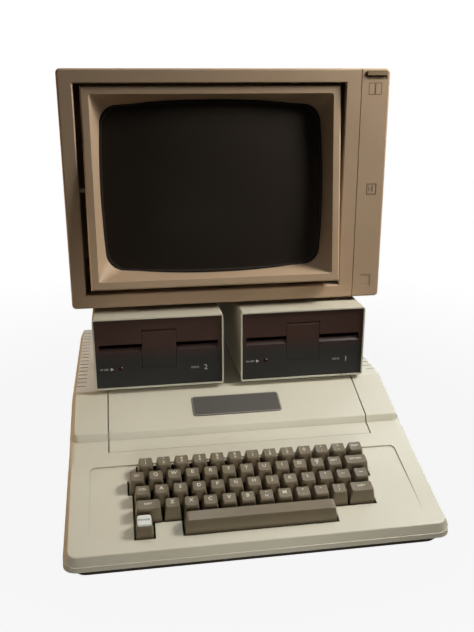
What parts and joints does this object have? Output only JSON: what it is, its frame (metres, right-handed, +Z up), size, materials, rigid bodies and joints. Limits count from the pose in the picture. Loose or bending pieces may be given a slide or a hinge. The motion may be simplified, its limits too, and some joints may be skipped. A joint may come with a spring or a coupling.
{
  "type": "home computer with disk drives and monitor",
  "caption": "Beige home computer with a built-in keyboard, two disk drives side by side on its flat top and a taupe tilting-screen monitor standing on the drives.",
  "frame": {"origin": "Middle of the bottom of the whole stack's bounding box, on the table under the feet.", "axes": "+X to the right as seen from the front, +Y to the rear, +Z up."},
  "size_m": [0.387, 0.6162, 0.47],
  "materials": {
    "case_plastic": "fine-textured moulded beige plastic",
    "case_paint": "satin beige paint on folded steel",
    "base_plastic": "dark moulded plastic",
    "foot_rubber": "black rubber",
    "screw_steel": "plated steel",
    "nameplate_plastic": "dark bare plate",
    "lamp_cap_plastic": "translucent white cap",
    "key_brown": "dark brown moulded caps with a soft shine",
    "board_green": "green circuit board",
    "chip_black": "black chip packages",
    "slot_plastic": "green connector bodies",
    "supply_metal": "grey metal box",
    "rocker_black": "black rocker",
    "speaker_paper": "dark paper cone on a magnet",
    "monitor_taupe": "textured taupe plastic",
    "monitor_button": "ribbed taupe button",
    "tube_glass": "dark tube face",
    "yoke_copper": "copper windings on a moulding",
    "knob_black": "ribbed black knob",
    "lamp_red": "dark red lens, unlit",
    "belt_rubber": "flat rubber belt",
    "drive_black": "black moulded face",
    "chassis_metal": "cast aluminium",
    "machined_metal": "turned aluminium",
    "carriage_plastic": "cream moulding"
  },
  "bodies": {
    "machine": {"upper_case": "case_plastic", "top_lid": "case_plastic", "base_plate": "base_plastic", "rubber_feet": "foot_rubber", "case_screws": "screw_steel", "nameplate": "nameplate_plastic", "power_lamp_cap": "lamp_cap_plastic", "keyboard_board": "board_green", "main_board": "board_green", "board_chips": "chip_black", "expansion_slots": "slot_plastic", "disk_controller_card": "board_green", "power_supply": "supply_metal", "speaker": "speaker_paper", "monitor_frame": "monitor_taupe", "monitor_panel": "monitor_taupe", "monitor_shell": "monitor_taupe", "monitor_feet": "foot_rubber", "monitor_board": "board_green", "drive_lamps": "lamp_red", "drive_belts": "belt_rubber", "drive_boards": "board_green", "drive_feet": "foot_rubber", "left_drive_cover": "case_paint", "left_drive_bezel": "drive_black", "left_drive_chassis": "chassis_metal", "right_drive_cover": "case_paint", "right_drive_bezel": "drive_black", "right_drive_chassis": "chassis_metal"},
    "power_rocker": {"power_rocker": "rocker_black"},
    "power_button": {"power_button": "monitor_button"},
    "brightness_knob": {"brightness_knob": "knob_black"},
    "contrast_knob": {"contrast_knob": "knob_black"},
    "number_row_keys": {"number_row_keys": "key_brown"},
    "reset_key": {"reset_key": "key_brown"},
    "upper_letter_keys": {"upper_letter_keys": "key_brown"},
    "escape_key": {"escape_key": "key_brown"},
    "repeat_key": {"repeat_key": "key_brown"},
    "return_key": {"return_key": "key_brown"},
    "home_letter_keys": {"home_letter_keys": "key_brown"},
    "control_key": {"control_key": "key_brown"},
    "left_arrow_key": {"left_arrow_key": "key_brown"},
    "right_arrow_key": {"right_arrow_key": "key_brown"},
    "lower_letter_keys": {"lower_letter_keys": "key_brown"},
    "shift_key_left": {"shift_key_left": "key_brown"},
    "shift_key_right": {"shift_key_right": "key_brown"},
    "space_bar": {"space_bar": "key_brown"},
    "left_drive_door": {"left_drive_door": "drive_black"},
    "left_drive_spindle": {"left_drive_spindle": "machined_metal"},
    "left_drive_motor_pulley": {"left_drive_motor_pulley": "machined_metal"},
    "left_drive_clamp_arm": {"left_drive_clamp_arm": "chassis_metal"},
    "left_drive_head_carriage": {"left_drive_head_carriage": "carriage_plastic"},
    "right_drive_door": {"right_drive_door": "drive_black"},
    "right_drive_spindle": {"right_drive_spindle": "machined_metal"},
    "right_drive_motor_pulley": {"right_drive_motor_pulley": "machined_metal"},
    "right_drive_clamp_arm": {"right_drive_clamp_arm": "chassis_metal"},
    "right_drive_head_carriage": {"right_drive_head_carriage": "carriage_plastic"},
    "screen": {"screen_bezel": "monitor_taupe", "picture_tube": "tube_glass", "deflection_yoke": "yoke_copper"}
  },
  "joints": [
    {"name": "number_row_press", "type": "slide", "parent": "machine", "child": "number_row_keys", "axis": [0, 0.294, -0.9558], "range_m": [0, 0.004], "stiffness_N_per_m": 1440, "springref_m": -0.005},
    {"name": "reset_press", "type": "slide", "parent": "machine", "child": "reset_key", "axis": [0, 0.294, -0.9558], "range_m": [0, 0.004], "stiffness_N_per_m": 120, "springref_m": -0.005},
    {"name": "upper_letter_press", "type": "slide", "parent": "machine", "child": "upper_letter_keys", "axis": [0, 0.294, -0.9558], "range_m": [0, 0.004], "stiffness_N_per_m": 1200, "springref_m": -0.005},
    {"name": "escape_press", "type": "slide", "parent": "machine", "child": "escape_key", "axis": [0, 0.294, -0.9558], "range_m": [0, 0.004], "stiffness_N_per_m": 120, "springref_m": -0.005},
    {"name": "repeat_press", "type": "slide", "parent": "machine", "child": "repeat_key", "axis": [0, 0.294, -0.9558], "range_m": [0, 0.004], "stiffness_N_per_m": 120, "springref_m": -0.005},
    {"name": "return_press", "type": "slide", "parent": "machine", "child": "return_key", "axis": [0, 0.294, -0.9558], "range_m": [0, 0.004], "stiffness_N_per_m": 120, "springref_m": -0.005},
    {"name": "home_letter_press", "type": "slide", "parent": "machine", "child": "home_letter_keys", "axis": [0, 0.294, -0.9558], "range_m": [0, 0.004], "stiffness_N_per_m": 1200, "springref_m": -0.005},
    {"name": "control_press", "type": "slide", "parent": "machine", "child": "control_key", "axis": [0, 0.294, -0.9558], "range_m": [0, 0.004], "stiffness_N_per_m": 120, "springref_m": -0.005},
    {"name": "left_arrow_press", "type": "slide", "parent": "machine", "child": "left_arrow_key", "axis": [0, 0.294, -0.9558], "range_m": [0, 0.004], "stiffness_N_per_m": 120, "springref_m": -0.005},
    {"name": "right_arrow_press", "type": "slide", "parent": "machine", "child": "right_arrow_key", "axis": [0, 0.294, -0.9558], "range_m": [0, 0.004], "stiffness_N_per_m": 120, "springref_m": -0.005},
    {"name": "lower_letter_press", "type": "slide", "parent": "machine", "child": "lower_letter_keys", "axis": [0, 0.294, -0.9558], "range_m": [0, 0.004], "stiffness_N_per_m": 1200, "springref_m": -0.005},
    {"name": "shift_press_left", "type": "slide", "parent": "machine", "child": "shift_key_left", "axis": [0, 0.294, -0.9558], "range_m": [0, 0.004], "stiffness_N_per_m": 120, "springref_m": -0.005},
    {"name": "shift_press_right", "type": "slide", "parent": "machine", "child": "shift_key_right", "axis": [0, 0.294, -0.9558], "range_m": [0, 0.004], "stiffness_N_per_m": 120, "springref_m": -0.005},
    {"name": "space_bar_press", "type": "slide", "parent": "machine", "child": "space_bar", "axis": [0, 0.294, -0.9558], "range_m": [0, 0.004], "stiffness_N_per_m": 120, "springref_m": -0.005},
    {"name": "power_rocker_tip", "type": "hinge", "parent": "machine", "child": "power_rocker", "pos_m": [-0.1175, 0.1358, 0.0475], "axis": [1, 0, 0], "range_deg": [-12, 0]},
    {"name": "left_drive_door_hinge", "type": "hinge", "parent": "machine", "child": "left_drive_door", "pos_m": [-0.0865, -0.0967, 0.1791], "axis": [-1, 0, 0], "range_deg": [0, 75]},
    {"name": "left_drive_clamp_lift", "type": "hinge", "parent": "machine", "child": "left_drive_clamp_arm", "pos_m": [-0.0865, 0.0499, 0.174], "axis": [-1, 0, 0], "range_deg": [0, 6]},
    {"name": "left_drive_spindle_turn", "type": "hinge", "parent": "machine", "child": "left_drive_spindle", "pos_m": [-0.0865, -0.0071, 0.143], "axis": [0, 0, 1], "continuous": true},
    {"name": "left_drive_motor_turn", "type": "hinge", "parent": "machine", "child": "left_drive_motor_pulley", "pos_m": [-0.0405, 0.0779, 0.143], "axis": [0, 0, 1], "continuous": true},
    {"name": "left_drive_head_travel", "type": "slide", "parent": "machine", "child": "left_drive_head_carriage", "axis": [0, -1, 0], "range_m": [0, 0.02]},
    {"name": "right_drive_door_hinge", "type": "hinge", "parent": "machine", "child": "right_drive_door", "pos_m": [0.0855, -0.0967, 0.1791], "axis": [-1, 0, 0], "range_deg": [0, 75]},
    {"name": "right_drive_clamp_lift", "type": "hinge", "parent": "machine", "child": "right_drive_clamp_arm", "pos_m": [0.0855, 0.0499, 0.174], "axis": [-1, 0, 0], "range_deg": [0, 6]},
    {"name": "right_drive_spindle_turn", "type": "hinge", "parent": "machine", "child": "right_drive_spindle", "pos_m": [0.0855, -0.0071, 0.143], "axis": [0, 0, 1], "continuous": true},
    {"name": "right_drive_motor_turn", "type": "hinge", "parent": "machine", "child": "right_drive_motor_pulley", "pos_m": [0.1315, 0.0779, 0.143], "axis": [0, 0, 1], "continuous": true},
    {"name": "right_drive_head_travel", "type": "slide", "parent": "machine", "child": "right_drive_head_carriage", "axis": [0, -1, 0], "range_m": [0, 0.02]},
    {"name": "monitor_power_press", "type": "slide", "parent": "machine", "child": "power_button", "axis": [0, 1, 0], "range_m": [0, 0.003], "stiffness_N_per_m": 200, "springref_m": -0.004},
    {"name": "screen_tilt", "type": "hinge", "parent": "machine", "child": "screen", "pos_m": [-0.0163, -0.05221, 0.33835], "axis": [1, 0, 0], "range_deg": [-6, 5.4]},
    {"name": "brightness_turn", "type": "hinge", "parent": "machine", "child": "brightness_knob", "pos_m": [-0.07, 0.2957, 0.233], "axis": [0, 1, 0], "range_deg": [-150, 150]},
    {"name": "contrast_turn", "type": "hinge", "parent": "machine", "child": "contrast_knob", "pos_m": [-0.036, 0.2957, 0.233], "axis": [0, 1, 0], "range_deg": [-150, 150]}
  ],
  "couplings": [
    {"joint": "left_drive_clamp_lift", "follows": "left_drive_door_hinge", "ratio": 0.08},
    {"joint": "left_drive_motor_turn", "follows": "left_drive_spindle_turn", "ratio": 3.9487},
    {"joint": "right_drive_clamp_lift", "follows": "right_drive_door_hinge", "ratio": 0.08},
    {"joint": "right_drive_motor_turn", "follows": "right_drive_spindle_turn", "ratio": 3.9487}
  ]
}
